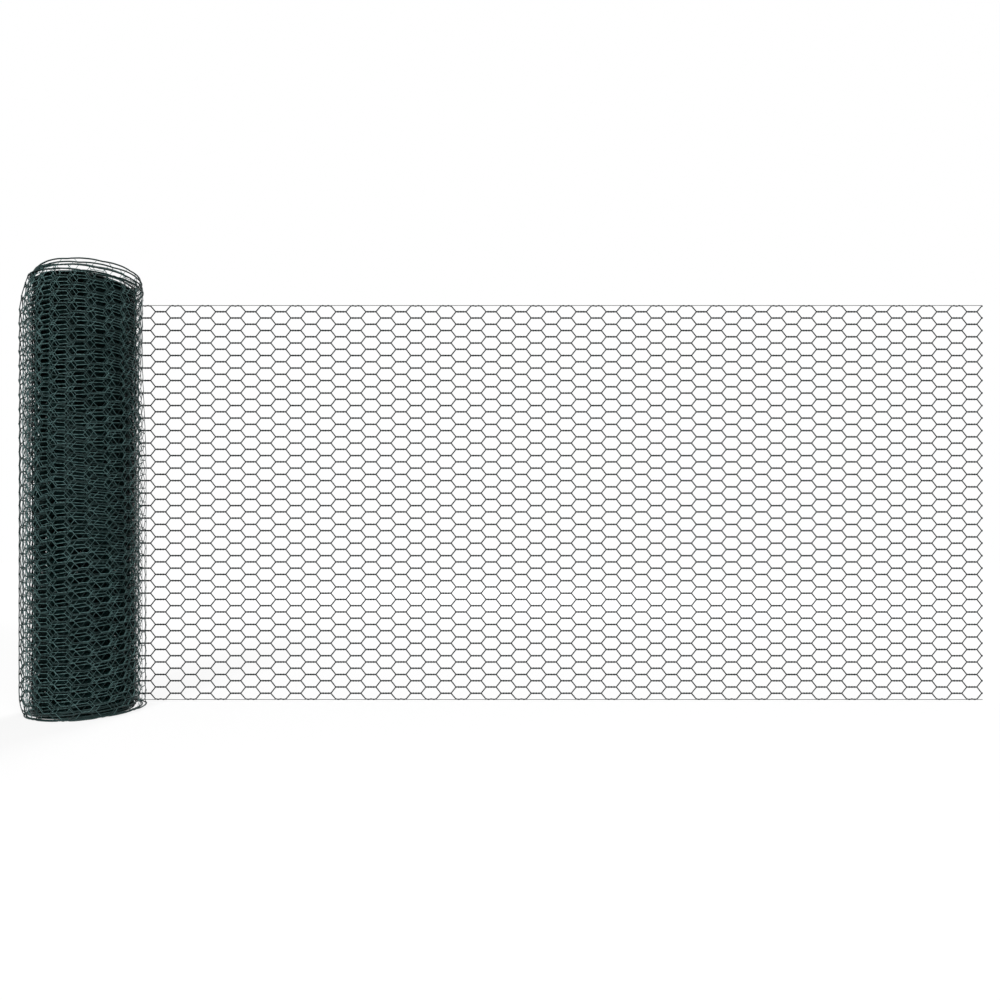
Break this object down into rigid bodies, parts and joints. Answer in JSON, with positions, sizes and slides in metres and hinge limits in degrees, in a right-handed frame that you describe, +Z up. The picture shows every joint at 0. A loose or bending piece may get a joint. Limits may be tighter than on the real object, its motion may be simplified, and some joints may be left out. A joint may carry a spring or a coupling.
{
  "type": "roll of hexagonal wire netting",
  "caption": "Standing roll of plastic-coated hexagonal wire netting with loose outer turns and a flat length drawn out to one side.",
  "frame": {"origin": "on the roll's axis, at the level of the floor that its lower end stands on", "axes": "+Z up along the roll's axis; +X along the drawn-out netting, from the roll to the cut end; the netting leaves the roll on the +Y side"},
  "size_m": [0.9331, 0.1, 0.411],
  "materials": {
    "coated_wire": "satin"
  },
  "bodies": {
    "root": {"wound_roll": "coated_wire", "drawn_out_netting_01": "coated_wire", "drawn_out_netting_02": "coated_wire", "drawn_out_netting_03": "coated_wire", "drawn_out_netting_04": "coated_wire", "drawn_out_netting_05": "coated_wire", "drawn_out_netting_06": "coated_wire", "drawn_out_netting_07": "coated_wire", "drawn_out_netting_08": "coated_wire", "drawn_out_netting_09": "coated_wire", "drawn_out_netting_10": "coated_wire"}
  },
  "joints": []
}
